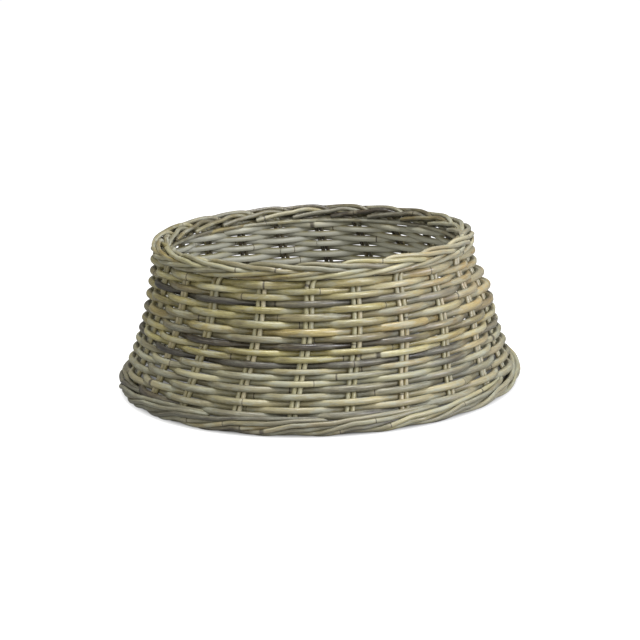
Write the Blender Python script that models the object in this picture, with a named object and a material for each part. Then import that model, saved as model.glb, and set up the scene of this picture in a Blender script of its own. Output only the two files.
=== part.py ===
# Woven cane skirt that stands round the foot of a christmas tree, open at the top and at the bottom.
# Metres, +Z up. The skirt stands on the plane z = 0, centred on the Z axis.
# An azimuth is measured round the Z axis from the front, which faces -Y, and grows toward +X.
# Upright stakes stand in pairs on a tapered wall. Two chains of weaver canes chase each other up
# the wall, in front of one pair and behind the next. A plaited border of three rods closes the top,
# and a rolled border of three rods closes the foot.
import math

import bmesh
import bpy
import numpy as np

# The wall: the circle through the stakes' centres, from the floor to the rim
HEIGHT = 0.2080
FLOOR_RADIUS = 0.2752
RIM_RADIUS = 0.2104
WALL_HOLLOW = 0.0116
WALL_SAMPLES = 400

# Stakes
PAIRS = 22
STAKE_DIAMETER = 0.0055
STAKE_GAP = 0.0010
STAKE_POINTS = 6
FIRST_PAIR_AZIMUTH = math.radians(-5.0)
STAKE_TWIST = math.radians(8.4)

# Weavers
WEAVER_DIAMETER = 0.0076
WEAVE_GAP = 0.0005
COURSE_GAP = 0.0003
TIGHTER_SHARE = 0.04
CHAIN_CANES = 5
JOINT_SHARE = 0.15
FIRST_CLIMB_PAIR = 7
SECOND_CLIMB_PAIR = 12
CLIMB_PAIRS = 3
REACH_PASSES = 6

# Borders: a strand repeats every three pairs, and three strands share each border
STRANDS = 3
STRAND_STEPS = 3
BORDER_OVERHANG = 0.0030
BORDER_SEAT = 0.0006
TOP_ROD_DIAMETER = 0.0086
TOP_RISE_SHARE = 0.99
TOP_REACH_SHARE = 1.07
FOOT_ROD_DIAMETER = 0.0092
FOOT_RISE_SHARE = 0.70
FOOT_REACH_SHARE = 0.76
FOOT_FLAT_SHARE = 0.10
JOINT_PAIR = 11.5

# Gap between pieces that touch, how far the cutter runs past what it cuts, and the share of the
# gap within which the points of a rod's caps are joined to its side
CLEARANCE = 0.0003
OVERRUN = 0.0200
CAP_WELD_SHARE = 0.01

# Colours from the photograph, as linear red, green and blue
STAKE_COLOUR = (0.34, 0.30, 0.21)
STRAW_COLOUR = (0.36, 0.27, 0.13)
OLIVE_COLOUR = (0.25, 0.21, 0.12)
GREY_COLOUR = (0.22, 0.20, 0.14)
DARK_COLOUR = (0.07, 0.055, 0.04)
BORDER_COLOUR = (0.27, 0.24, 0.16)
WEAVER_COLOURS = (GREY_COLOUR, DARK_COLOUR, STRAW_COLOUR, STRAW_COLOUR, OLIVE_COLOUR)
CANE_ROUGHNESS = 0.45


def wall_radius(height):
    share = height / HEIGHT
    straight = FLOOR_RADIUS + (RIM_RADIUS - FLOOR_RADIUS) * share
    return straight - WALL_HOLLOW * 4 * share * (1 - share)


def wall_lean(height):
    # The angle between the wall and the vertical, positive where the wall flares toward the floor
    share = height / HEIGHT
    run = (RIM_RADIUS - FLOOR_RADIUS) - WALL_HOLLOW * 4 * (1 - 2 * share)
    return math.atan(-run / HEIGHT)


WALL_HEIGHTS = np.linspace(0, HEIGHT, WALL_SAMPLES + 1)
WALL_RUNS = np.hypot(np.diff(WALL_HEIGHTS), np.diff(wall_radius(WALL_HEIGHTS)))
WALL_SLANTS = np.concatenate([[0], np.cumsum(WALL_RUNS)])


def slant_at(height):
    # Length along the wall from the floor
    return float(np.interp(height, WALL_HEIGHTS, WALL_SLANTS))


def height_at(slant):
    return float(np.interp(slant, WALL_SLANTS, WALL_HEIGHTS))


def place(azimuth, height, outward=0.0, upward=0.0, sideways=0.0):
    # A point seen from the wall: square to it, along it and round it
    lean = wall_lean(height)
    radius = wall_radius(height) + outward * math.cos(lean) - upward * math.sin(lean)
    return (
        radius * math.sin(azimuth) + sideways * math.cos(azimuth),
        -radius * math.cos(azimuth) + sideways * math.sin(azimuth),
        height + outward * math.sin(lean) + upward * math.cos(lean),
    )


def pair_azimuth(pair, height):
    turned = STAKE_TWIST * (height / HEIGHT - 0.5)
    return FIRST_PAIR_AZIMUTH + 2 * math.pi * pair / PAIRS + turned


# Border strands: how far each rises along the wall and reaches out from it about the border's middle
TOP_RISE = TOP_RISE_SHARE * (TOP_ROD_DIAMETER + CLEARANCE)
TOP_REACH = TOP_REACH_SHARE * (TOP_ROD_DIAMETER + CLEARANCE)
FOOT_RISE = FOOT_RISE_SHARE * (FOOT_ROD_DIAMETER + CLEARANCE)
FOOT_REACH = FOOT_REACH_SHARE * (FOOT_ROD_DIAMETER + CLEARANCE)
FOOT_FLAT = FOOT_FLAT_SHARE * FOOT_ROD_DIAMETER


def border_half_height(rise, reach, rod, lean):
    return math.hypot(rise * math.cos(lean), reach * math.sin(lean)) + rod / 2


FOOT_LEAN = wall_lean(0)
FOOT_HALF = border_half_height(FOOT_RISE, FOOT_REACH, FOOT_ROD_DIAMETER, FOOT_LEAN)
FOOT_MIDDLE = FOOT_HALF - FOOT_FLAT - BORDER_OVERHANG * math.sin(FOOT_LEAN)
TOP_LEAN = wall_lean(HEIGHT)
TOP_HALF = border_half_height(TOP_RISE, TOP_REACH, TOP_ROD_DIAMETER, TOP_LEAN)
TOP_MIDDLE = HEIGHT - TOP_HALF - BORDER_OVERHANG * math.sin(TOP_LEAN)
STAKE_FOOT = height_at(slant_at(FOOT_MIDDLE) + FOOT_RISE + FOOT_ROD_DIAMETER / 2 + CLEARANCE)
STAKE_TOP = height_at(slant_at(TOP_MIDDLE) - TOP_RISE - TOP_ROD_DIAMETER / 2 - CLEARANCE)

# Courses of weaving, seated on the foot border and under the top border
LOWEST_SLANT = slant_at(STAKE_FOOT) + WEAVER_DIAMETER / 2 + BORDER_SEAT
HIGHEST_SLANT = slant_at(STAKE_TOP) - WEAVER_DIAMETER / 2 - BORDER_SEAT
WOVEN_SLANT = HIGHEST_SLANT - LOWEST_SLANT
STEPS_THAT_FIT = int(WOVEN_SLANT * (1 - TIGHTER_SHARE) / (WEAVER_DIAMETER + COURSE_GAP))
TURNS = (STEPS_THAT_FIT + 1) // 2
COURSES = 2 * TURNS


def course_height(course):
    # Courses lie a little tighter toward the foot
    share = course / (COURSES - 1)
    return height_at(LOWEST_SLANT + WOVEN_SLANT * (share - TIGHTER_SHARE * share * (1 - share)))


def climbed(pair):
    # Both chains climb one course in each of two short zones at the back of every turn
    turn, place_in_turn = divmod(pair, PAIRS)
    courses = 2 * turn
    for start in (FIRST_CLIMB_PAIR, SECOND_CLIMB_PAIR):
        share = min(max((place_in_turn - start) / CLIMB_PAIRS, 0), 1)
        courses += share * share * (3 - 2 * share)
    return courses


def crest_reach(radius, side):
    # How far a weaver stands off the stakes' circle as it rounds a pair, outside (+1) or inside (-1)
    seat = (STAKE_DIAMETER + WEAVER_DIAMETER) / 2 + WEAVE_GAP
    half_pair = (STAKE_DIAMETER + STAKE_GAP) / 2
    step = 2 * math.pi / PAIRS
    reach = seat
    for _ in range(REACH_PASSES):
        here = radius + side * reach
        there = radius - side * reach
        slope = side * (here - there * math.cos(step)) / (there * math.sin(step))
        reach = seat * math.hypot(1, slope) + half_pair * slope
    return reach


def weaver_point(pair, first_pair, outside_parity):
    course = min(max(climbed(pair) - climbed(first_pair), 0), COURSES - 1)
    height = course_height(course)
    side = 1 if pair % 2 == outside_parity else -1
    reach = side * crest_reach(wall_radius(height), side)
    return place(pair_azimuth(pair, height), height, outward=reach)


def border_point(step, strand, top):
    # The top strands plait, and the foot strands roll round like a rope
    pair = step / STRAND_STEPS
    phase = 2 * math.pi * (pair + strand) / STRANDS
    if top:
        middle, rise, reach = TOP_MIDDLE, TOP_RISE, TOP_REACH * math.sin(2 * phase)
        up = -rise * math.cos(phase)
    else:
        middle, rise, reach = FOOT_MIDDLE, FOOT_RISE, -FOOT_REACH * math.sin(phase)
        up = rise * math.cos(phase)
    return place(pair_azimuth(pair, middle), middle, outward=BORDER_OVERHANG + reach, upward=up)


def stretch(point_at, start, end, gap):
    # Points from start to end along a path of straight steps, half a gap short at each end
    def along(position, pull):
        low = math.floor(position)
        a = np.array(point_at(low))
        b = np.array(point_at(low + 1))
        share = position - low + pull * gap / 2 / float(np.linalg.norm(b - a))
        return tuple(a + (b - a) * share)

    first = math.floor(start) + 1
    last = math.ceil(end) - 1
    middle = [point_at(step) for step in range(first, last + 1)]
    return [along(start, 1)] + middle + [along(end, -1)]


def clear_scene():
    for obj in list(bpy.data.objects):
        bpy.data.objects.remove(obj, do_unlink=True)


def new_collection(name):
    collection = bpy.data.collections.new(name)
    bpy.context.scene.collection.children.link(collection)
    return collection


def cane_material(name, colour):
    material = bpy.data.materials.new(name)
    material.use_nodes = True
    shader = material.node_tree.nodes["Principled BSDF"]
    shader.inputs["Base Color"].default_value = (*colour, 1)
    shader.inputs["Roughness"].default_value = CANE_ROUGHNESS
    shader.inputs["Metallic"].default_value = 0
    return material


def cane(name, points, diameter, material, collection):
    curve = bpy.data.curves.new(name, "CURVE")
    curve.dimensions = "3D"
    curve.bevel_depth = diameter / 2
    curve.bevel_resolution = 2
    curve.use_fill_caps = True
    spline = curve.splines.new("POLY")
    spline.points.add(len(points) - 1)
    for spline_point, point in zip(spline.points, points):
        spline_point.co = (*point, 1)
    spline.use_smooth = True
    curve.materials.append(material)
    obj = bpy.data.objects.new(name, curve)
    collection.objects.link(obj)
    return obj


def make_stakes(parts):
    material = cane_material("stake_cane", STAKE_COLOUR)
    half_pair = (STAKE_DIAMETER + STAKE_GAP) / 2
    heights = np.linspace(STAKE_FOOT, STAKE_TOP, STAKE_POINTS)
    for pair in range(PAIRS):
        for letter, side in (("a", -1), ("b", 1)):
            points = [
                place(pair_azimuth(pair, height), height, sideways=side * half_pair)
                for height in heights
            ]
            cane(f"stake_{pair + 1:02d}{letter}", points, STAKE_DIAMETER, material, parts)


def make_chain(parts, letter, first_pair, last_pair, outside_parity, materials):
    def point_at(pair):
        return weaver_point(pair, first_pair, outside_parity)

    # Each joint lies just past a pair that hides it, so a cane passes an even number of pairs
    cane_pairs = 2 * ((last_pair - first_pair) // (2 * CHAIN_CANES))
    for number in range(1, CHAIN_CANES + 1):
        start = first_pair + (number - 1) * cane_pairs + (JOINT_SHARE if number > 1 else 0)
        end = first_pair + number * cane_pairs + JOINT_SHARE
        if number == CHAIN_CANES:
            end = last_pair
        points = stretch(point_at, start, end, 2 * CLEARANCE)
        material = materials[(number - 1) % len(materials)]
        cane(f"weaver_{letter}_{number}", points, WEAVER_DIAMETER, material, parts)


def make_weavers(parts):
    # Each chain starts and ends behind a pair, next to a climbing zone
    materials = [
        cane_material(f"weaver_cane_{number + 1}", colour)
        for number, colour in enumerate(WEAVER_COLOURS)
    ]
    turned = PAIRS * TURNS
    make_chain(
        parts,
        "a",
        FIRST_CLIMB_PAIR + CLIMB_PAIRS + 1,
        FIRST_CLIMB_PAIR + turned,
        FIRST_CLIMB_PAIR % 2 ^ 1,
        materials,
    )
    make_chain(
        parts,
        "b",
        SECOND_CLIMB_PAIR + CLIMB_PAIRS + 1,
        SECOND_CLIMB_PAIR + turned,
        SECOND_CLIMB_PAIR % 2 ^ 1,
        materials,
    )


def make_top_border(parts):
    material = cane_material("top_border_cane", BORDER_COLOUR)
    start = JOINT_PAIR * STRAND_STEPS
    for strand in range(STRANDS):
        points = stretch(
            lambda step: border_point(step, strand, True),
            start,
            start + PAIRS * STRAND_STEPS,
            2 * CLEARANCE,
        )
        cane(f"top_border_rod_{strand + 1}", points, TOP_ROD_DIAMETER, material, parts)


def as_mesh(curve_object, collection):
    graph = bpy.context.evaluated_depsgraph_get()
    mesh = bpy.data.meshes.new_from_object(curve_object.evaluated_get(graph))
    name = curve_object.name
    matrix = curve_object.matrix_world.copy()
    bpy.data.objects.remove(curve_object, do_unlink=True)
    return weld(name, mesh, matrix, collection)


def weld(name, mesh, matrix, collection):
    welded = bmesh.new()
    welded.from_mesh(mesh)
    bmesh.ops.remove_doubles(welded, verts=welded.verts, dist=CLEARANCE * CAP_WELD_SHARE)
    welded.to_mesh(mesh)
    welded.free()
    obj = bpy.data.objects.new(name, mesh)
    obj.matrix_world = matrix
    collection.objects.link(obj)
    return obj


def floor_cutter(cutters):
    # A slab whose upper face is the floor, under the whole foot border
    width = 2 * (FLOOR_RADIUS + FOOT_REACH + FOOT_ROD_DIAMETER + OVERRUN)
    bpy.ops.mesh.primitive_cube_add(size=1, location=(0, 0, -OVERRUN / 2))
    slab = bpy.context.object
    slab.name = "floor_cutter"
    slab.scale = (width, width, OVERRUN)
    slab.hide_render = True
    slab.display_type = "WIRE"
    for collection in list(slab.users_collection):
        collection.objects.unlink(slab)
    cutters.objects.link(slab)
    return slab


def make_foot_border(parts, cutters):
    material = cane_material("foot_border_cane", BORDER_COLOUR)
    slab = floor_cutter(cutters)
    start = JOINT_PAIR * STRAND_STEPS
    for strand in range(STRANDS):
        points = stretch(
            lambda step: border_point(step, strand, False),
            start,
            start + PAIRS * STRAND_STEPS,
            2 * CLEARANCE,
        )
        name = f"foot_border_rod_{strand + 1}"
        rod = as_mesh(cane(name, points, FOOT_ROD_DIAMETER, material, parts), parts)
        flat = rod.modifiers.new("floor", "BOOLEAN")
        flat.operation = "DIFFERENCE"
        flat.object = slab


def main():
    clear_scene()
    parts = new_collection("christmas_tree_skirt")
    cutters = new_collection("cutters")
    make_stakes(parts)
    make_weavers(parts)
    make_top_border(parts)
    make_foot_border(parts, cutters)
    print(f"{COURSES} courses, stakes from {STAKE_FOOT:.4f} to {STAKE_TOP:.4f} m")


main()
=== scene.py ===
import math

import bpy
import numpy as np
from mathutils import Matrix


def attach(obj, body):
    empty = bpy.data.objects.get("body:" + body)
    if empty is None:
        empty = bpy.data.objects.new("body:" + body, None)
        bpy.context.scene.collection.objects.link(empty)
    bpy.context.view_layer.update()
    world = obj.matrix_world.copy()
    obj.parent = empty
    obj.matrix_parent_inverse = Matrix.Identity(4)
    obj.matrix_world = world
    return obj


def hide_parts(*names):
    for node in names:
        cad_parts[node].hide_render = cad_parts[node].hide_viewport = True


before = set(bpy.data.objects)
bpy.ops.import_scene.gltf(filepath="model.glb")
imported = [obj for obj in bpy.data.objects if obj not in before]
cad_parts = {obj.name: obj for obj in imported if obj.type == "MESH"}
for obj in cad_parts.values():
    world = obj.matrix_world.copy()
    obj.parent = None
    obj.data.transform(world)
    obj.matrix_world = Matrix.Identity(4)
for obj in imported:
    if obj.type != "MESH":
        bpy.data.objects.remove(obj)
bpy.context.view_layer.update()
print("frame loaded:", len(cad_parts), "solids")

mm = 0.001

# The tapered wall that the stakes stand in, in millimetres and degrees. Azimuth 0 faces the camera and
# 90 is on its right. Strays are how far single pairs of stakes stand from their even places.
wall = {
    "height": 208.0, "taper": (275.99, -140.25, 212.11, -240.67, 99.15),
    "pairs": 22, "firstPair": -5.0, "twist": 8.3,
    "strays": {-2: -1.5, -1: 0.4, 0: 0.4, 1: -0.25, 2: -0.55, 3: -0.6},
    "footMiddle": 10.0, "footOverhang": 2.6, "topMiddle": 197.2, "topOverhang": 3.2,
    "sway": 2.8, "swayHeight": 112.0, "swayReach": 34.0,
    "rimShift": -3.0, "rimShiftFrom": 145.0, "rimShiftOver": 35.0,
    "dent": 3.6, "dentAt": 90.0, "dentReach": 38.0, "dentHeight": 160.0, "dentRise": 18.0,
}
wallCurve = np.polynomial.Polynomial(wall["taper"])
strays = np.zeros(wall["pairs"] + 1)
for pair, degrees in wall["strays"].items():
    strays[pair % wall["pairs"]] = degrees
strays[-1] = strays[0]


def wallRadius(z):  # a power series of the height's share: steep above the foot, nearly upright at the rim
    return wallCurve(np.asarray(z, float) / wall["height"])


def wallLean(z):  # angle of the wall from the vertical, from the slope of wallRadius
    return np.arctan(-wallCurve.deriv()(np.asarray(z, float) / wall["height"]) / wall["height"])


def place(azimuth, z, outward=0.0, upward=0.0, sideways=0.0):
    # a point from its azimuth and height on the wall, then off it along its normal, its slope and its
    # tangent. The ring isn't quite true: halfway up it bulges a little to the right, as a bell curve of
    # the height, its rim stands a little to the left, and a shallow dent under the rim on the right is a
    # bell curve of both height and azimuth.
    azimuth, z = np.broadcast_arrays(azimuth, np.asarray(z, float))
    lean = wallLean(z)
    radius = wallRadius(z) + outward * np.cos(lean) - upward * np.sin(lean)
    sway = wall["sway"] * np.exp(-((z - wall["swayHeight"]) / wall["swayReach"]) ** 2)
    sway = sway + wall["rimShift"] * np.clip((z - wall["rimShiftFrom"]) / wall["rimShiftOver"], 0, 1)
    aside = (np.degrees(azimuth) - wall["dentAt"] + 180) % 360 - 180
    radius = radius - wall["dent"] * np.exp(
        -((aside / wall["dentReach"]) ** 2) - ((z - wall["dentHeight"]) / wall["dentRise"]) ** 2
    )
    x = radius * np.sin(azimuth) + sideways * np.cos(azimuth) + sway
    y = -radius * np.cos(azimuth) + sideways * np.sin(azimuth)
    return np.stack([x, y, z + outward * np.sin(lean) + upward * np.cos(lean)], -1)


def wallNormal(azimuth, z):  # outward across the wall, tipped up by its lean
    lean = wallLean(z)
    return np.stack([np.sin(azimuth) * np.cos(lean), -np.cos(azimuth) * np.cos(lean), np.sin(lean)], -1)


def pairAzimuth(pair, z):  # evenly spaced, turned a little with height, and off by the pair's own stray
    turned = math.radians(wall["twist"]) * (z / wall["height"] - 0.5)
    stray = np.radians(np.interp(np.mod(pair, wall["pairs"]), np.arange(wall["pairs"] + 1), strays))
    return math.radians(wall["firstPair"]) + 2 * np.pi * pair / wall["pairs"] + turned + stray


# What all canes share: worn ends, a bark taken from a long imagined cane, shading that breaks at sharp
# edges, and dirt with painted contact shade, which starts where a cane faces enough of its neighbours and is
# painted darker underneath
cane = {
    "chamfer": 0.5, "endTaper": 0.86, "barkLength": 9000, "sharpAngle": 50,
    "flankSlope": 1.25, "flankStart": 0.55, "below": 0.35, "belowStart": 0.3,
}


def eased(share):  # 0 to 1 with flat ends
    return share * share * (3 - 2 * share)


def unit(vectors):
    return vectors / np.linalg.norm(vectors, axis=-1, keepdims=True)


def runAlong(path):  # distance of each point from the path's start
    return np.concatenate([[0], np.cumsum(np.linalg.norm(np.diff(path, axis=0), axis=1))])


def withEnds(row):  # the first and last value twice, for the extra rings that cutEnds adds
    return np.concatenate([row[:1], row, row[-1:]])


def softNoise(length, reach, count, seed):
    # smooth random curves from -1 to 1: drawn values, one every reach, eased from each to the next
    local = np.random.default_rng(seed)
    steps = max(int(length / reach), 1) + 4
    knots = local.uniform(-1, 1, (count, steps))
    at = np.linspace(1, steps - 2.001, max(int(length), 2))
    low = at.astype(int)
    ease = eased(at - low)
    return knots[:, low] * (1 - ease) + knots[:, low + 1] * ease


def cutEnds(path, guide, run):
    # an extra ring just inside each end, so that the cut edge is a little worn
    chamfer = cane["chamfer"]
    first = path[0] + unit(path[1] - path[0]) * chamfer
    last = path[-1] + unit(path[-2] - path[-1]) * chamfer
    path = np.concatenate([path[:1], first[None], path[1:-1], last[None], path[-1:]])
    run = np.concatenate([run[:1], run[:1] + chamfer, run[1:-1], run[-1:] - chamfer, run[-1:]])
    return path, withEnds(guide), run


def tubeArrays(path, radius, guide, sides, along):
    # a circle of the given radius carried along the path, one ring per path point, with a flat cap at
    # each end. The UV is the distance along the cane and the share of the way round it.
    tangent = unit(np.gradient(path, axis=0))
    side = unit(guide - (guide * tangent).sum(1, keepdims=True) * tangent)
    other = np.cross(tangent, side)
    angle = 2 * np.pi * np.arange(sides) / sides
    spoke = np.cos(angle)[None, :, None] * side[:, None] + np.sin(angle)[None, :, None] * other[:, None]
    rings = len(path)
    points = path[:, None] + radius[:, None, None] * spoke
    i = np.arange(rings - 1)[:, None] * sides
    j = np.arange(sides)[None]
    k = (j + 1) % sides
    quads = np.stack([i + j, i + k, i + sides + k, i + sides + j], -1).reshape(-1, 4)
    u = np.broadcast_to(along[:, None], (rings, sides + 1))
    v = np.broadcast_to(np.arange(sides + 1)[None] / sides, (rings, sides + 1))
    uv = np.stack([u, v], -1)
    quadUv = np.stack([uv[:-1, :-1], uv[:-1, 1:], uv[1:, 1:], uv[1:, :-1]], 2).reshape(-1, 2)
    firstCentre, lastCentre, lastRing = rings * sides, rings * sides + 1, (rings - 1) * sides
    j, k = j[0], k[0]
    caps = np.concatenate([
        np.stack([np.full(sides, firstCentre), k, j], -1),
        np.stack([np.full(sides, lastCentre), lastRing + j, lastRing + k], -1),
    ])
    capUv = np.repeat([[along[0], 0.5], [along[-1], 0.5]], 3 * sides, 0)
    return {
        "points": np.concatenate([points.reshape(-1, 3), path[:1], path[-1:]]),
        "normals": np.concatenate([spoke.reshape(-1, 3), -tangent[:1], tangent[-1:]]),
        "quads": quads, "caps": caps, "quadUv": quadUv, "capUv": capUv, "sides": sides,
    }


def ringValues(tube, values):  # one value a ring, spread over its points and the two cap centres
    return np.concatenate([np.repeat(values, tube["sides"], 0), values[:1], values[-1:]])


def caneTube(path, guide, run, thickness, look, wobble, local):
    # a cane along the path: its thickness is off by a draw of its own and by a ripple along it, its ends
    # are narrowed, and its bark is taken from anywhere on a long imagined cane
    path, guide, run = cutEnds(path, guide, run)
    uneven = 1 + local.normal(0, look["diameterSpread"]) + look["ripple"] * withEnds(wobble)
    radius = thickness / 2 * uneven
    radius[[0, -1]] *= cane["endTaper"]
    along = (run + local.uniform(0, cane["barkLength"])) * mm
    tube = tubeArrays(path, radius, guide, look["sides"], along)
    # how far each point faces into the ring, -1 to 1
    tube["facing"] = -(tube["normals"] * ringValues(tube, guide)).sum(1)
    return tube, path, run


# mask of dirt and painted contact shade; the painted shade is stronger underneath
def flankOf(tube):  # 1 where a cane faces its neighbours above and below, a little more underneath
    below = np.clip(-tube["normals"][:, 2] - cane["belowStart"], 0, 1)
    flank = np.clip((1 - np.abs(tube["facing"])) * cane["flankSlope"] - cane["flankStart"], 0, 1)
    return flank + cane["below"] * below


def capCentres(tube):  # 1 at the two cap centres, 0 elsewhere
    mask = np.zeros(len(tube["points"]))
    mask[-2:] = 1
    return mask


def buildPiece(name, tubes, material):
    # joins closed tubes into one mesh; lengths become metres here
    offsets = np.cumsum([0] + [len(t["points"]) for t in tubes])
    quads = np.concatenate([t["quads"] + o for t, o in zip(tubes, offsets)])
    caps = np.concatenate([t["caps"] + o for t, o in zip(tubes, offsets)])
    points = np.concatenate([t["points"] for t in tubes]) * mm
    corners = np.concatenate([quads.reshape(-1), caps.reshape(-1)]).astype(np.int32)
    starts = np.concatenate([
        np.arange(len(quads)) * 4, len(quads) * 4 + np.arange(len(caps)) * 3
    ]).astype(np.int32)
    mesh = bpy.data.meshes.new(name)
    mesh.vertices.add(len(points))
    mesh.vertices.foreach_set("co", points.astype(np.float32).reshape(-1))
    mesh.loops.add(len(corners))
    mesh.loops.foreach_set("vertex_index", corners)
    mesh.polygons.add(len(starts))
    mesh.polygons.foreach_set("loop_start", starts)
    uv = np.concatenate([t["quadUv"] for t in tubes] + [t["capUv"] for t in tubes])
    layer = mesh.uv_layers.new(name="caneUv")
    layer.data.foreach_set("uv", uv.astype(np.float32).reshape(-1))
    for key in tubes[0]["values"]:
        data = mesh.attributes.new(key, "FLOAT", "POINT")
        data.data.foreach_set("value", np.concatenate([t["values"][key] for t in tubes]).astype(np.float32))
    mesh.update(calc_edges=True)
    mesh.validate()
    mesh.polygons.foreach_set("use_smooth", np.ones(len(starts), bool))
    mesh.set_sharp_from_angle(angle=math.radians(cane["sharpAngle"]))
    mesh.materials.append(material)
    piece = bpy.data.objects.new(name, mesh)
    bpy.context.scene.collection.objects.link(piece)
    return piece


# Materials


def nodeMaker(tree):
    # gives a function that adds a node: settings by name, and inputs by their index or name, each of
    # which is linked where a socket is given and set where a number or a colour is
    def node(kind, inputs, **settings):
        made = tree.nodes.new(kind)
        for key, value in settings.items():
            setattr(made, key, value)
        for key, value in inputs.items():
            if isinstance(value, bpy.types.NodeSocket):
                tree.links.new(value, made.inputs[key])
            else:
                made.inputs[key].default_value = (*value, 1) if isinstance(value, tuple) else value
        return made

    return node


# Bark fields are noises: scale along the cane in 1/m, scale round it, detail, roughness. Ramps turn a
# value between the first two numbers into one between the last two.
caneLook = {
    "streak": (14, 0.9, 3.0, 0.6), "fine": (60, 5.0, 2.0, 0.6), "speck": (260, 11.0, 3.0, 0.75),
    "blotch": (45, 0.6, 4.0, 0.65), "stain": (30, 0.5, 2.0, 0.5), "drift": (5.0, 0.0, 0.0, 0.5),
    "contrast": 0.62, "lengthShade": 0.24, "lengthWarmth": 0.6,
    "barkRamp": [
        (0.00, (0.018, 0.015, 0.012)), (0.22, (0.070, 0.052, 0.027)), (0.45, (0.190, 0.159, 0.064)),
        (0.65, (0.335, 0.297, 0.112)), (0.82, (0.490, 0.442, 0.195)), (1.00, (0.680, 0.650, 0.440)),
    ],
    # the pale colour mixed in toward the right is painted light
    "warmth": (1.15, 0.94, 0.78), "paintedLightShare": 0.46, "paintedLight": (0.56, 0.52, 0.41),
    "stainRamp": (0.52, 0.58, 0.0, 0.8), "stainTint": (0.88, 0.70, 0.46), "stainElsewhere": 0.15,
    "silver": (0.380, 0.378, 0.275), "darkSilver": (0.038, 0.033, 0.024), "insideSilver": (0.47, 0.465, 0.37),
    "silverRamp": (0.0, 0.62, 1.0, 0.0), "blotchRamp": (0.50, 0.62, 0.0, 0.60), "greyShare": 0.60,
    "nodeSpacing": 0.26, "nodeDrift": 0.30, "nodeWidth": 0.0016, "nodeDark": 0.85, "nodePale": 0.28,
    "nodeColour": (0.045, 0.034, 0.022), "nodeSideColour": (0.52, 0.47, 0.31),
    # the dirt colour also paints the contact shade between canes
    "cutColour": (0.55, 0.50, 0.38), "dirtAndShadeColour": (0.034, 0.024, 0.012),
    "roughnessRamp": (0.3, 0.7, 0.22, 0.44), "greyDull": 0.22, "specular": 0.80,
    "grainHeight": 0.6, "nodeHeight": -0.9, "bumpStrength": 0.35, "bumpDistance": 0.0006,
}


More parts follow.
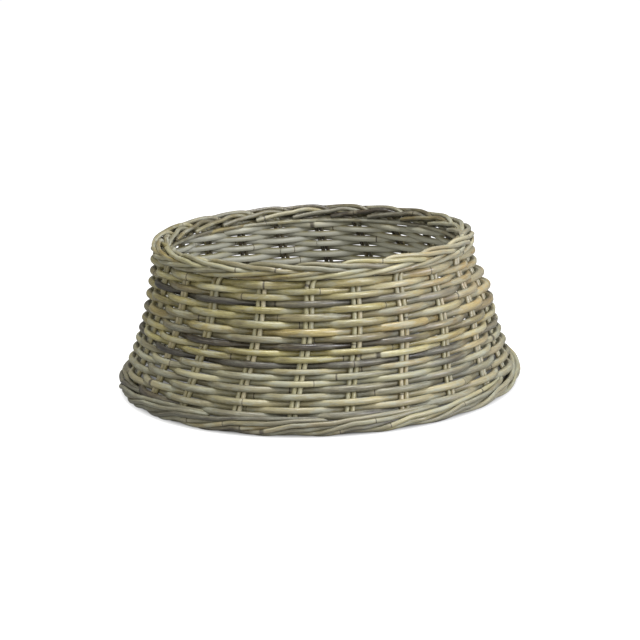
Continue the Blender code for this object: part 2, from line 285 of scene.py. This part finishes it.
def caneFinish(name, silverShare):
    look = caneLook
    material = bpy.data.materials.new(name)
    material.use_nodes = True
    node = nodeMaker(material.node_tree)

    def maths(operation, a, b=0.0, clamp=False):
        return node("ShaderNodeMath", {0: a, 1: b}, operation=operation, use_clamp=clamp).outputs[0]

    def mapRange(value, ramp):
        return node("ShaderNodeMapRange", dict(enumerate((value, *ramp))), clamp=True).outputs[0]

    def attribute(key):
        return node("ShaderNodeAttribute", {}, attribute_name=key).outputs["Fac"]

    def mixed(factor, a, b, blend="MIX"):
        inputs = {0: factor, 6: a, 7: b}
        return node("ShaderNodeMix", inputs, data_type="RGBA", blend_type=blend).outputs[2]

    def centred(value, amount):  # swings by half the amount to each side of 0
        return maths("MULTIPLY", maths("SUBTRACT", value, 0.5), amount)

    caneUv = node("ShaderNodeUVMap", {}, uv_map="caneUv").outputs[0]
    along, around = node("ShaderNodeSeparateXYZ", {0: caneUv}).outputs[:2]  # along is in metres
    turn = maths("MULTIPLY", around, 2 * math.pi)
    cosine, sine = maths("COSINE", turn), maths("SINE", turn)

    def bark(field):  # a noise that is seamless round the cane and drawn out along it
        alongScale, roundScale, detail, roughness = look[field]
        at = node("ShaderNodeCombineXYZ", {
            0: maths("MULTIPLY", along, alongScale),
            1: maths("MULTIPLY", cosine, roundScale), 2: maths("MULTIPLY", sine, roundScale),
        }).outputs[0]
        return node("ShaderNodeTexNoise", {
            "Vector": at, "Scale": 1.0, "Detail": detail, "Roughness": roughness,
        }).outputs["Fac"]

    # growth joints come at uneven places, and each length of cane between two has its own shade
    drift = maths("MULTIPLY", bark("drift"), look["nodeDrift"])
    measure = maths("DIVIDE", maths("ADD", along, drift), look["nodeSpacing"])
    cell = maths("FLOOR", measure)
    own = node("ShaderNodeTexWhiteNoise", {"W": cell}, noise_dimensions="1D").outputs["Value"]
    fine, blotch = bark("fine"), bark("blotch")
    shade = attribute("caneTone")
    for field, amount in (
        (bark("streak"), look["contrast"]), (fine, look["contrast"]), (bark("speck"), look["contrast"]),
        (own, look["lengthShade"]),
    ):
        shade = maths("ADD", shade, centred(field, amount))
    ramp = node("ShaderNodeValToRGB", {0: shade})
    elements = ramp.color_ramp.elements
    while len(elements) < len(look["barkRamp"]):
        elements.new(0.5)
    for element, (position, colour) in zip(elements, look["barkRamp"]):
        element.position = position
        element.color = (*colour, 1)
    colour = ramp.outputs[0]
    warmed = mixed(1.0, colour, look["warmth"], "MULTIPLY")
    warm = maths("ADD", attribute("caneWarm"), centred(own, look["lengthWarmth"]), clamp=True)
    colour = mixed(warm, colour, warmed)
    # painted light: canes toward the right are painted paler
    paintedLightMask = attribute("canePaintedLight")
    colour = mixed(maths("MULTIPLY", paintedLightMask, look["paintedLightShare"]), colour, look["paintedLight"])
    # tan stains, mostly on the side with the painted light
    stain = mapRange(bark("stain"), look["stainRamp"])
    stain = maths("MULTIPLY", stain, maths("ADD", paintedLightMask, look["stainElsewhere"]), clamp=True)
    colour = mixed(stain, colour, mixed(1.0, colour, look["stainTint"], "MULTIPLY"))
    # weathering: grey blotches all over, more on the inside of the wall
    inside = attribute("caneInside")
    blotches = mapRange(blotch, look["blotchRamp"])
    grey = maths("ADD", blotches, maths("MULTIPLY", inside, silverShare), clamp=True)
    grey = maths("ADD", grey, maths("MULTIPLY", attribute("caneGrey"), look["greyShare"]), clamp=True)
    toneGrey = mixed(mapRange(shade, look["silverRamp"]), look["silver"], look["darkSilver"])
    toneGrey = mixed(inside, toneGrey, look["insideSilver"])
    colour = mixed(grey, colour, toneGrey)
    # a thin dark line at each growth joint, pale on both sides
    width = look["nodeWidth"]
    away = maths("MULTIPLY", maths("PINGPONG", measure, 0.5), look["nodeSpacing"])
    ring = mapRange(away, (width * 0.4, width, look["nodeDark"], 0.0))
    pale = mapRange(away, (width, width * 6, look["nodePale"], 0.0))
    colour = mixed(pale, colour, look["nodeSideColour"])
    colour = mixed(ring, colour, look["nodeColour"])
    # dirt and painted contact shade where canes touch, and pale pith at the cut ends
    colour = mixed(attribute("caneDirtAndShade"), colour, look["dirtAndShadeColour"])
    colour = mixed(attribute("caneCut"), colour, look["cutColour"])
    dull = maths("ADD", mapRange(blotch, look["roughnessRamp"]), maths("MULTIPLY", grey, look["greyDull"]))
    grain = maths("MULTIPLY", fine, look["grainHeight"])
    height = maths("ADD", grain, maths("MULTIPLY", ring, look["nodeHeight"]))
    bump = node("ShaderNodeBump", {
        "Strength": look["bumpStrength"], "Distance": look["bumpDistance"], "Height": height,
    }).outputs[0]
    shader = material.node_tree.nodes["Principled BSDF"]
    shader.inputs["Specular IOR Level"].default_value = look["specular"]
    for socket, value in (("Base Color", colour), ("Roughness", dull), ("Normal", bump)):
        material.node_tree.links.new(value, shader.inputs[socket])
    return material


weaverFinish = caneFinish("weatheredWeaver", 0.80)
stakeFinish = caneFinish("weatheredStake", 0.35)
print("materials ready")

# Weavers: two chains of canes chase each other up the wall, each in front of one pair and behind the
# next. Heights are those of the courses. A weaver's middle swings from outside to inside of the stakes'
# circle, and its swing outward rises by an angle. Each chain climbs one course over some pairs from each
# of the climbs. Cuts are the least and the most share of a weaver at its two cuts. Joint and behind move
# a weaver's ends and its cuts to where they are hidden, in pairs.
weave = {
    "heights": (22.4, 29.6, 37.4, 45.6, 53.5, 61.1, 68.3, 75.5, 82.6, 90.1, 97.7,
                105.5, 113.8, 122.8, 132.0, 141.0, 149.6, 157.6, 165.3, 172.8, 181.0),
    "fill": 1.065, "sideFill": 0.055, "sideSlope": 1.6, "backThinner": 0.7, "footExtra": 1.2, "rimExtra": 1.4,
    "outside": 2.8, "inside": 2.4,
    "riseBack": -0.005, "riseFront": 0.148, "riseLean": 0.30, "frontBlend": 0.3,
    "climbs": (7, 12), "climbPairs": 3, "canes": 5, "cuts": ((0.25, 0.62), (0.42, 0.8)),
    "joint": 0.15, "behind": 0.12, "endGap": 0.004,
    "samples": 24, "sides": 16, "diameterSpread": 0.04, "ripple": 0.03,
    "wobbleUp": 0.3, "wobbleOut": 0.35, "wobbleReach": 1.1,
    # the tone's rise toward the right is painted light
    "toneSpread": 0.05, "toneRipple": 0.06, "greySpread": 0.12, "paintedLightTone": 0.10,
    "warmSpread": 0.45, "warmExtra": 0.5, "warmAt": 58, "warmReach": 32,
    # dirt with painted contact shade, lighter on the inward side, and painted shade behind a cane where it
    # passes outside the stakes
    "grimeAndShade": 0.50, "innerLessGrimeAndShade": 0.34, "innerSlope": 2.5, "hiddenGrimeAndShade": 0.4, "hiddenPower": 4,
    "insideSlope": 1.5, "insideStart": 0.1,
}
# First and last pair of each chain, which pairs it passes outside, and how far its tucked ends run on
chains = {"a": (11, 232, 0, 1.6, 1.5), "b": (16, 249, 1, 1.5, 1.5)}
courses = len(weave["heights"])

# a course is as thick as the mean distance to its neighbours along the wall, times a fill a little over 1
courseGaps = np.diff(weave["heights"]) / np.cos(wallLean(weave["heights"]))[1:]
courseDiameters = weave["fill"] * np.convolve(np.pad(courseGaps, 1, mode="edge"), (0.5, 0.5), "valid")
courseDiameters[[0, -1]] += weave["footExtra"], weave["rimExtra"]


def climbed(pair):  # courses climbed since pair 0: one in each of two short zones of every turn
    turn, inTurn = np.divmod(pair, wall["pairs"])
    total = 2 * turn
    for start in weave["climbs"]:
        total = total + eased(np.clip((inTurn - start) / weave["climbPairs"], 0, 1))
    return total


# How the canes changed colour as they weathered. Tone: 0 dark, 1 pale. Grey: 0 straw, 1 silver grey.
courseTints = (
    (0.42, 0.95), (0.44, 0.75), (0.51, 0.80), (0.46, 0.75), (0.49, 0.75), (0.53, 0.75), (0.45, 0.65),
    (0.48, 0.60), (0.28, 0.60), (0.67, 0.08), (0.65, 0.08), (0.47, 0.12), (0.43, 0.25), (0.63, 0.10),
    (0.61, 0.15), (0.59, 0.10), (0.59, 0.15), (0.53, 0.15), (0.58, 0.10), (0.63, 0.12), (0.61, 0.12),
)
# Stretches of one cane that differ: course from the foot, azimuths in degrees, tone, grey
stretches = [
    (17, -82, 32, 0.12, 0.80), (8, -84, 48, 0.07, 0.90), (11, -62, 32, 0.22, 0.15),
    (12, -60, 42, 0.34, 0.45), (16, 30, 70, 0.40, 0.3), (12, 42, 80, 0.30, 0.2), (8, 52, 84, 0.2, 0.6),
    (6, 34, 52, 0.16, 0.5), (10, 40, 64, 0.62, 0.0), (0, -80, -34, 0.20, 0.4), (0, 9, 24, 0.16, 0.8),
    (18, -60, -30, 0.44, 0.1),
]
stretchEdge = 5.0
# how the painted light from the right grows with height
paintedLightReach = {"low": 0.4, "from": 110, "over": 60}


def paintedLightOf(azimuth, z):
    # painted light: 0 to 1 toward the right, most in the upper half, where the canes are painted paler for
    # the light from the right
    upper = np.clip((z - paintedLightReach["from"]) / paintedLightReach["over"], 0, 1)
    return np.clip(np.sin(azimuth), 0, 1) * (paintedLightReach["low"] + (1 - paintedLightReach["low"]) * upper)


def tintOf(course, azimuth):
    # tone and grey of the course, pulled toward a stretch's own inside it with soft ends
    at = np.arange(courses)
    tone = np.interp(course, at, [tint[0] for tint in courseTints])
    grey = np.interp(course, at, [tint[1] for tint in courseTints])
    degrees = (np.degrees(azimuth) + 180) % 360 - 180
    for row, start, end, stretchTone, stretchGrey in stretches:
        near = np.clip(1.4 - 2 * np.abs(course - row), 0, 1)
        afterStart = np.clip((degrees - start) / stretchEdge, 0, 1)
        inside = near * afterStart * np.clip((end - degrees) / stretchEdge, 0, 1)
        tone = tone + (stretchTone - tone) * inside
        grey = grey + (stretchGrey - grey) * inside
    return tone, grey


def weaverEnds(letter, number, local):
    # the pairs where a weaver's lengths end: its two ends, and two cuts that are drawn as shares of it
    # and moved to where the cane is behind a pair
    first, last, parity, head, tail = chains[letter]
    canePairs = 2 * ((last - first) // (2 * weave["canes"]))
    start = first + (number - 1) * canePairs + weave["joint"] if number > 1 else first - head
    end = last + tail if number == weave["canes"] else first + number * canePairs + weave["joint"]
    cuts = sorted(start + (end - start) * local.uniform(*weave["cuts"]))
    return [start, *[round((c - parity - 1) / 2) * 2 + parity + 1 + weave["behind"] for c in cuts], end]


def weaverLength(letter, low, high, seed, local):
    # one length of a weaver: outside the stakes' circle at one pair, inside it at the next, as a cosine
    first, _, parity, _, _ = chains[letter]
    count = int((high - low) * weave["samples"]) + 1
    pair = np.linspace(low + weave["endGap"], high - weave["endGap"], count)
    course = np.clip(climbed(pair) - climbed(first), 0, courses - 1)
    z = np.interp(course, np.arange(courses), weave["heights"])
    azimuth = pairAzimuth(pair, z)
    # the canes are a little thicker at the sides of the ring, less so at its back
    side = np.clip(weave["sideSlope"] * (1 - np.cos(azimuth)), 0, 1)
    fuller = side * (1 - weave["backThinner"] * np.clip(-np.cos(azimuth), 0, 1))
    thickness = np.interp(course, np.arange(courses), courseDiameters) * (1 + weave["sideFill"] * fuller)
    wave = np.cos(np.pi * (pair - parity))
    swing = (weave["outside"] + weave["inside"] + thickness) / 2
    wobble = softNoise(count, weave["samples"] * weave["wobbleReach"], 4, seed)
    off = (weave["outside"] - weave["inside"]) / 2 + swing * wave + weave["wobbleOut"] * wobble[0]
    # the wave rises outward by one angle in the front half and another in the back half
    lean = wallLean(z)
    front = np.clip((np.cos(azimuth) + weave["frontBlend"]) / (2 * weave["frontBlend"]), 0, 1)
    rise = weave["riseBack"] + (weave["riseFront"] + weave["riseLean"] * lean - weave["riseBack"]) * front
    dip = lean - rise
    path = place(
        azimuth, z, outward=off * np.cos(dip), upward=weave["wobbleUp"] * wobble[1] - off * np.sin(dip)
    )
    guide, run = wallNormal(azimuth, z), runAlong(path)
    tube, _, _ = caneTube(path, guide, run, withEnds(thickness), weave, wobble[2], local)
    azimuth = withEnds(azimuth)
    tone, grey = tintOf(withEnds(course), azimuth)
    # painted light: paler toward the right and the top
    paintedLight = paintedLightOf(azimuth, withEnds(z))
    tone = tone + weave["paintedLightTone"] * paintedLight
    tone = tone + local.normal(0, weave["toneSpread"]) + weave["toneRipple"] * withEnds(wobble[3])
    grey = np.clip(grey + local.normal(0, weave["greySpread"]), 0, 1)
    eastern = np.exp(-((np.degrees(azimuth) % 360 - weave["warmAt"]) / weave["warmReach"]) ** 2)
    ownWarm = local.uniform(-weave["warmSpread"], weave["warmSpread"])
    warm = np.clip(ownWarm + weave["warmExtra"] * eastern, 0, 1)
    # dirt and painted shade under and over each cane, where its neighbours touch it, and painted shade behind
    # it at the stakes
    facing = tube["facing"]
    hidden = np.clip(facing, 0, 1) * ringValues(tube, np.clip(withEnds(wave), 0, 1) ** weave["hiddenPower"])
    grimeAndShade = weave["grimeAndShade"] - weave["innerLessGrimeAndShade"] * np.clip(weave["innerSlope"] * facing, 0, 1)
    tube["values"] = {
        "caneTone": ringValues(tube, tone),
        "caneGrey": ringValues(tube, grey),
        "caneWarm": ringValues(tube, warm),
        "canePaintedLight": ringValues(tube, paintedLight),
        "caneInside": np.clip(facing * weave["insideSlope"] - weave["insideStart"], 0, 1),
        "caneDirtAndShade": np.clip(grimeAndShade * flankOf(tube) + weave["hiddenGrimeAndShade"] * hidden, 0, 1),
        "caneCut": capCentres(tube),
    }
    return tube


def weaverPiece(letter, number):
    seed = 100 * "ab".index(letter) + number
    local = np.random.default_rng(seed)
    ends = weaverEnds(letter, number, local)
    tubes = [
        weaverLength(letter, low, high, seed * 10 + part, local)
        for part, (low, high) in enumerate(zip(ends[:-1], ends[1:]))
    ]
    piece = buildPiece(f"weaverCane_{letter}{number}", tubes, weaverFinish)
    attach(piece, "root")
    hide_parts(f"weaver_{letter}_{number}")


for letter in chains:
    for number in range(1, weave["canes"] + 1):
        weaverPiece(letter, number)
print("weavers woven")

# Stake canes: each is rolled round the foot, stands in the wall and is plaited into the rim. Lengths are
# in millimetres. Dips' places, shortFoot, footSpread and tuckOver are in intervals between pairs.
stake = {
    "diameter": 6.2, "halfPair": 3.6, "standing": (20.5, 181.5), "standingPoints": 40,
    "routeStep": 0.03, "spacing": 2.2, "rounding": 5.5, "sides": 14,
    "footDip": 3.4, "footDipAt": 0.05, "footDipStart": 0.7, "footDipOver": 15,
    "topDip": 1.1, "topDipAt": 0.6, "topDipStart": 0.5, "topDipOver": 12,
    "shortFoot": 0.9, "footSpread": 0.1, "tuck": 7.0, "tuckOver": 0.5,
    "diameterSpread": 0.02, "ripple": 0.025, "wobbleReach": 26,
    "tone": 0.57, "toneSpread": 0.08, "toneLimits": (0.35, 0.8), "toneRipple": 0.07,
    # the foot's extra darkness on its left, the rim's back and the stakes' inward side get painted shade, and
    # the front right gets painted light
    "wallTone": 0.92, "wallToneShare": 0.9, "blend": 8, "pastWall": 12, "pastFoot": 4,
    "footDarker": 0.17, "footLeftShade": 0.6, "footGreyer": 0.45, "paintedLightTone": 0.08, "paintedLightStart": 0.6,
    "backPaintedShade": 0.24, "backRight": 0.4, "backStart": 0.35, "backBlend": 20, "backShadeLessSilver": 0.8,
    "grey": 0.5, "greySpread": 0.22, "greyRipple": 0.4, "wallGrey": 0.45, "warmth": (-0.4, 0.6),
    "insideSlope": 1.5, "insidePaintedShade": 0.75, "grimeAndShade": 0.5, "wallLessGrimeAndShade": 0.6,
}
# Routes in the borders: intervals ahead of the cane's own pair, then millimetres up and outward from
# the border's middle. Each pair's left cane is a and its right one b.
topRoute = {
    "a": [
        (-0.06, -13.5, -2), (-0.055, -10.5, -2.2), (-0.05, -8, -2.4), (0.01, -6.5, -2.4), (0.16, -6, -1.2),
        (0.35, -6.8, 1), (0.55, -8.4, 2.9), (0.8, -8.9, 4.7), (1, -8.2, 5.6), (1.2, -7.7, 6.3),
        (1.4, -6.1, 8.1), (1.6, -5.6, 8.5), (1.8, -4, 9.4), (2, -2.7, 8.9), (2.2, -1.6, 5.6),
        (2.4, -0.7, 3.8), (2.6, 0, 1.2), (2.8, 2.9, -2), (3, 5.9, -3.2), (3.2, 7.8, -4.1),
        (3.4, 7.8, -5.6), (3.6, 6.4, -7.7), (3.8, 5.1, -8.4), (4, 3.5, -9.2), (4.2, 1.8, -9.7),
        (4.4, 0.2, -10.3), (4.6, -1.8, -10.2),
    ],
    "b": [
        (0.055, -13.5, -2), (0.058, -10.5, -3), (0.08, -8, -4), (0.17, -5.8, -4.9), (0.4, -0.8, -4.8),
        (0.6, 4.7, -2.2), (0.8, 8.9, -0.2), (1, 9.4, 2.3), (1.2, 8.7, 4.4), (1.4, 7.7, 6.3),
        (1.6, 6.7, 7.5), (1.8, 4.8, 8.9), (2, 3.8, 9.5), (2.2, 2.8, 9.9), (2.4, 0.7, 10), (2.6, 0.4, 7.5),
        (2.8, -2, 3.3), (3, -4.3, 0.5), (3.2, -4.8, -0.6), (3.4, -5.6, 0.4), (3.6, -7.3, -2.6),
        (3.8, -8.3, -6.8), (4, -8.3, -9.8), (4.2, -8.1, -10.7), (4.4, -8, -10.7), (4.6, -8.2, -10.5),
        (4.8, -8.6, -10.1), (5, -9.2, -9.6),
    ],
}
footRoute = {
    "a": [
        (0.05, 5.3, -7.6), (0.25, 1.8, -7.6), (0.45, -1.8, -7.4), (0.65, -5.4, -6.1), (0.85, -7.7, -3.8),
        (1.05, -8.7, -1.5), (1.25, -8.8, 0.6), (1.45, -8.3, 3.2), (1.65, -6.6, 6.3), (1.85, -4.6, 8),
        (2.05, -2.7, 8.9), (2.25, -0.5, 9.3), (2.45, 1.4, 9.3), (2.65, 1.9, 9.2), (2.85, 2.9, 8.8),
        (3.05, 4.4, 8.4), (3.25, 6.4, 7.1), (3.45, 8, 5.9), (3.65, 8.7, 5.4), (3.85, 9.3, 4.8),
        (4.05, 9.8, 4.2), (4.25, 10.3, 2.6), (4.45, 10.6, -0.6), (4.6, 10.6, -3.2),
    ],
    "b": [
        (0.05, 8.6, -2.2), (0.25, 6.8, -3.6), (0.45, 4.2, -5.2), (0.65, 1.4, -6.7), (0.85, -1.2, -7.5),
        (1.05, -3.7, -7.1), (1.25, -5.8, -5.2), (1.45, -7.7, -3.1), (1.65, -8.5, 0.2), (1.85, -8.3, 2.8),
        (2.05, -7.6, 4.8), (2.25, -6.1, 6.3), (2.45, -2.5, 4.5), (2.65, -0.9, 3.4), (2.85, -0.5, 2.9),
        (3.05, -0.1, 1.4), (3.1, 0, 0.9),
    ],
}


def spread(route, step):
    # a route's points joined by Catmull-Rom curves: each point's slope is that of its neighbours
    route = np.asarray(route, float)
    at = route[:, 0]
    slope = np.gradient(route[:, 1:], at, axis=0)
    fine = np.arange(at[0], at[-1] + step / 2, step)
    low = np.clip(np.searchsorted(at, fine, side="right") - 1, 0, len(at) - 2)
    width = (at[low + 1] - at[low])[:, None]
    t = ((fine - at[low]) / width[:, 0])[:, None]
    values = (
        (2 * t**3 - 3 * t**2 + 1) * route[low, 1:] + (t**3 - 2 * t**2 + t) * width * slope[low]
        + (-2 * t**3 + 3 * t**2) * route[low + 1, 1:] + (t**3 - t**2) * width * slope[low + 1]
    )
    return fine, values


def rounded(path, spacing, reach):
    # even steps along the path, then each point averaged with its neighbours under a bell, ends held
    run = runAlong(path)
    even = np.linspace(0, run[-1], int(run[-1] / spacing) + 1)
    points = np.stack([np.interp(even, run, path[:, k]) for k in range(3)], -1)
    half = max(int(reach / spacing), 1)
    bell = np.hanning(2 * half + 3)[1:-1]
    bell /= bell.sum()
    before = 2 * points[0] - points[half:0:-1]
    after = 2 * points[-1] - points[-2:-half - 2:-1]
    padded = np.concatenate([before, points, after])
    smooth = np.stack([np.convolve(padded[:, k], bell, "valid") for k in range(3)], -1)
    return smooth, even


def scallop(at, offset):  # 1 at a cusp once an interval, round and 0 between: 1 - |sine|
    return 1 - np.abs(np.sin(np.pi * (at - offset)))


def stakeRoute(pair, letter, local):
    # the whole cane's path, and how far along it the foot border and the wall end
    footAt, foot = spread(footRoute[letter], stake["routeStep"])
    topAt, top = spread(topRoute[letter], stake["routeStep"])
    # a tip that would come to lie under the lowest row, where that row passes outside a pair, is cut short
    short = stake["shortFoot"] * (letter == "a" and pair % 2 == 1)
    foot = foot[footAt < footAt[-1] - short - local.uniform(0, stake["footSpread"])]
    footAt = footAt[: len(foot)]
    # the foot's underside and the rim's crest are scalloped, the canes on their far sides much less
    underside = np.clip(stake["footDipStart"] - foot[:, 0] / stake["footDipOver"], 0, 1)
    foot[:, 0] += stake["footDip"] * scallop(footAt, stake["footDipAt"]) * underside
    crest = np.clip(stake["topDipStart"] + top[:, 0] / stake["topDipOver"], 0, 1)
    top[:, 0] -= stake["topDip"] * scallop(topAt, stake["topDipAt"]) * crest
    if short:
        foot[:, 1] -= stake["tuck"] * np.clip((footAt - footAt[-1]) / stake["tuckOver"] + 1, 0, 1) ** 2
    footPath, topPath = [
        place(
            pairAzimuth(pair + at, wall[f"{border}Middle"]), wall[f"{border}Middle"],
            outward=wall[f"{border}Overhang"] + offsets[:, 1], upward=offsets[:, 0],
        )
        for border, at, offsets in (("foot", footAt, foot), ("top", topAt, top))
    ]
    footPath = footPath[::-1]
    z = np.linspace(*stake["standing"], stake["standingPoints"])
    side = stake["halfPair"] * (-1 if letter == "a" else 1)
    wallPath = place(pairAzimuth(pair, z), z, sideways=side)
    footEnd, wallEnd = np.cumsum([runAlong(part)[-1] for part in (footPath, wallPath)])
    path, run = rounded(np.concatenate([footPath, wallPath, topPath]), stake["spacing"], stake["rounding"])
    return path, run, footEnd, wallEnd


def stakePiece(pair, letter):
    seed = 1000 + 2 * pair + "ab".index(letter)
    local = np.random.default_rng(seed)
    path, run, footEnd, wallEnd = stakeRoute(pair, letter, local)
    azimuth = np.arctan2(path[:, 0], -path[:, 1])
    wobble = softNoise(len(path), stake["wobbleReach"], 3, seed)
    blend = stake["blend"]
    aboveFoot = np.clip((run - footEnd) / blend, 0, 1)
    inWall = aboveFoot * np.clip((wallEnd + stake["pastWall"] - run) / blend, 0, 1)
    guide = wallNormal(azimuth, path[:, 2])
    tube, path, run = caneTube(path, guide, run, stake["diameter"], stake, wobble[0], local)
    azimuth, inWall = withEnds(azimuth), withEnds(inWall)
    # pale in the wall; darker and greyer at the foot, with painted shade darker still on its left; painted
    # shade at the rim's back, deeper on the right; and painted light toward the front right
    low = np.clip((footEnd + stake["pastFoot"] - run) / blend, 0, 1)
    inRim = np.clip((run - wallEnd) / stake["backBlend"], 0, 1)
    back = inRim * np.clip(stake["backStart"] - np.cos(azimuth), 0, 1)
    paintedLight = paintedLightOf(azimuth, path[:, 2]) * np.clip(np.cos(azimuth) * 2 + stake["paintedLightStart"], 0, 1)
    own = np.clip(local.normal(stake["tone"], stake["toneSpread"]), *stake["toneLimits"])
    base = own + stake["toneRipple"] * withEnds(wobble[1])
    tone = base + (stake["wallTone"] - base) * stake["wallToneShare"] * inWall
    tone = tone - stake["footDarker"] * low * (1 - stake["footLeftShade"] * np.sin(azimuth))
    backPaintedShade = stake["backPaintedShade"] * back * (1 + stake["backRight"] * np.sin(azimuth))
    tone = tone + stake["paintedLightTone"] * paintedLight - backPaintedShade
    ownGrey = local.normal(stake["grey"], stake["greySpread"]) + stake["greyRipple"] * withEnds(wobble[2])
    grey = np.clip(ownGrey + stake["footGreyer"] * low, 0, 1)
    inside = np.clip(tube["facing"] * stake["insideSlope"], 0, 1)
    wallShare = ringValues(tube, inWall)
    # painted shade darkens the stakes' inward side in the wall, and the rim's back keeps less of its silver
    # as part of its painted shade
    tube["values"] = {
        "caneTone": ringValues(tube, tone) - stake["insidePaintedShade"] * inside * wallShare,
        "caneGrey": ringValues(tube, grey + (stake["wallGrey"] - grey) * inWall),
        "caneWarm": np.full(len(tube["points"]), np.clip(local.uniform(*stake["warmth"]), 0, 1)),
        "canePaintedLight": ringValues(tube, paintedLight),
        "caneInside": inside * (1 - wallShare) * ringValues(tube, 1 - stake["backShadeLessSilver"] * back),
        # dirt and painted contact shade, less where the stake stands in the wall
        "caneDirtAndShade": np.clip(stake["grimeAndShade"] * flankOf(tube) * (1 - stake["wallLessGrimeAndShade"] * wallShare), 0, 1),
        "caneCut": capCentres(tube),
    }
    name = f"{pair + 1:02d}{letter}"
    piece = buildPiece(f"stakeCane_{name}", [tube], stakeFinish)
    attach(piece, "root")
    rods = [f"{border}_border_rod_{n}" for border in ("top", "foot") for n in (1, 2, 3)]
    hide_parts(f"stake_{name}", *rods)


for pair in range(wall["pairs"]):
    for letter in "ab":
        stakePiece(pair, letter)
print("stake canes set, rolled and plaited")

# Camera, light and floor

view = {
    "distance": 2.1932, "elevation": 14.02, "roll": 1.961, "focalPixels": 1555.35, "aimHeight": 0.08193,
    "shiftPixels": 2.38, "imageWidth": 640, "sensor": 36, "farthest": 100,
}


def addCamera():
    elevation, roll = math.radians(view["elevation"]), math.radians(view["roll"])
    forward = np.array([0, math.cos(elevation), -math.sin(elevation)])
    up = np.array([0, math.sin(elevation), math.cos(elevation)])
    right = np.array([1.0, 0, 0])
    cameraX = right * math.cos(roll) - up * math.sin(roll)
    cameraY = right * math.sin(roll) + up * math.cos(roll)
    data = bpy.data.cameras.new("photoCamera")
    data.sensor_width = view["sensor"]
    data.lens = view["focalPixels"] / view["imageWidth"] * view["sensor"]
    data.shift_x = view["shiftPixels"] / view["imageWidth"]
    data.clip_end = view["farthest"]
    camera = bpy.data.objects.new("photoCamera", data)
    location = np.array([0, 0, view["aimHeight"]]) - forward * view["distance"]
    matrix = np.eye(4)
    matrix[:3] = np.stack([cameraX, cameraY, -forward, location], -1)
    camera.matrix_world = Matrix(matrix.tolist())
    bpy.context.scene.collection.objects.link(camera)
    bpy.context.scene.camera = camera


lamps = [
    # name, place, target, width, watts, colour
    ("keyLamp", (2.35, -1.85, 1.5), (0, 0, 0.1), 1.5, 66.0, (0.97, 0.985, 1.08)),
    ("frontLamp", (-0.5, -2.8, 1.25), (0, 0, 0.1), 1.6, 16.0, (1.0, 0.98, 0.90)),
    ("leftLamp", (-2.2, -1.2, 1.3), (0, 0, 0.1), 1.2, 7.0, (1.0, 0.98, 0.90)),
    ("topLamp", (0.1, -0.3, 2.2), (0, 0, 0), 1.0, 36.0, (1.0, 1.0, 1.0)),
]


def addLamp(name, location, target, width, watts, colour):
    data = bpy.data.lights.new(name, "AREA")
    data.shape = "DISK"
    data.size = width
    data.energy = watts
    data.color = colour
    lamp = bpy.data.objects.new(name, data)
    lamp.location = location
    back = np.array(location, float) - np.array(target, float)
    yaw = math.atan2(back[0], -back[1])
    tilt = math.atan2(math.hypot(back[0], back[1]), back[2])
    lamp.rotation_euler = (tilt, 0, yaw)
    bpy.context.scene.collection.objects.link(lamp)


# The world's light on the object and its look to the camera. Ramps turn metres from the ring's centre
# into the floor's glow and tone, from inside the ring to outside it; the dim floor inside the ring is a
# painted shadow.
studio = {
    "worldLight": 0.26, "worldShown": 1.0, "floorSize": 30.0, "floorTone": (0.42, 0.42, 0.42),
    "glowRamp": (0.266, 0.283, 0.06, 0.92), "toneRamp": (0.266, 0.283, 0.22, 0.42),
}


def addWorld():
    world = bpy.data.worlds.new("studio")
    bpy.context.scene.world = world
    world.use_nodes = True
    node = nodeMaker(world.node_tree)
    seen = node("ShaderNodeLightPath", {}).outputs["Is Camera Ray"]
    inputs = {0: seen, 2: studio["worldLight"], 3: studio["worldShown"]}
    strength = node("ShaderNodeMix", inputs, data_type="FLOAT").outputs[0]
    background = world.node_tree.nodes["Background"]
    background.inputs["Color"].default_value = (1, 1, 1, 1)
    world.node_tree.links.new(strength, background.inputs["Strength"])


def addFloor():
    size = studio["floorSize"]
    mesh = bpy.data.meshes.new("floor")
    corners = [(-size, -size, 0), (size, -size, 0), (size, size, 0), (-size, size, 0)]
    mesh.from_pydata(corners, [], [(0, 1, 2, 3)])
    floor = bpy.data.objects.new("floor", mesh)
    bpy.context.scene.collection.objects.link(floor)
    material = bpy.data.materials.new("paleFloor")
    material.use_nodes = True
    material.node_tree.nodes.clear()
    node = nodeMaker(material.node_tree)
    # what the camera sees is plain white round the object, with a painted shadow keeping it dim inside the
    # ring
    at = node("ShaderNodeTexCoord", {}).outputs["Object"]
    distance = node("ShaderNodeVectorMath", {0: at}, operation="LENGTH").outputs["Value"]
    glow, tone = [
        node("ShaderNodeMapRange", dict(enumerate((distance, *studio[ramp])))).outputs[0]
        for ramp in ("glowRamp", "toneRamp")
    ]
    shownLit = node("ShaderNodeBsdfDiffuse", {0: tone}).outputs[0]
    glowing = node("ShaderNodeEmission", {"Strength": glow}).outputs[0]
    shown = node("ShaderNodeAddShader", {0: shownLit, 1: glowing}).outputs[0]
    lit = node("ShaderNodeBsdfDiffuse", {0: studio["floorTone"]}).outputs[0]
    seen = node("ShaderNodeLightPath", {}).outputs["Is Camera Ray"]
    mix = node("ShaderNodeMixShader", {0: seen, 1: lit, 2: shown}).outputs[0]
    node("ShaderNodeOutputMaterial", {0: mix})
    mesh.materials.append(material)


addCamera()
for lamp in lamps:
    addLamp(*lamp)
addWorld()
addFloor()
bpy.context.scene.view_settings.view_transform = "Standard"
print("camera, light and floor set")
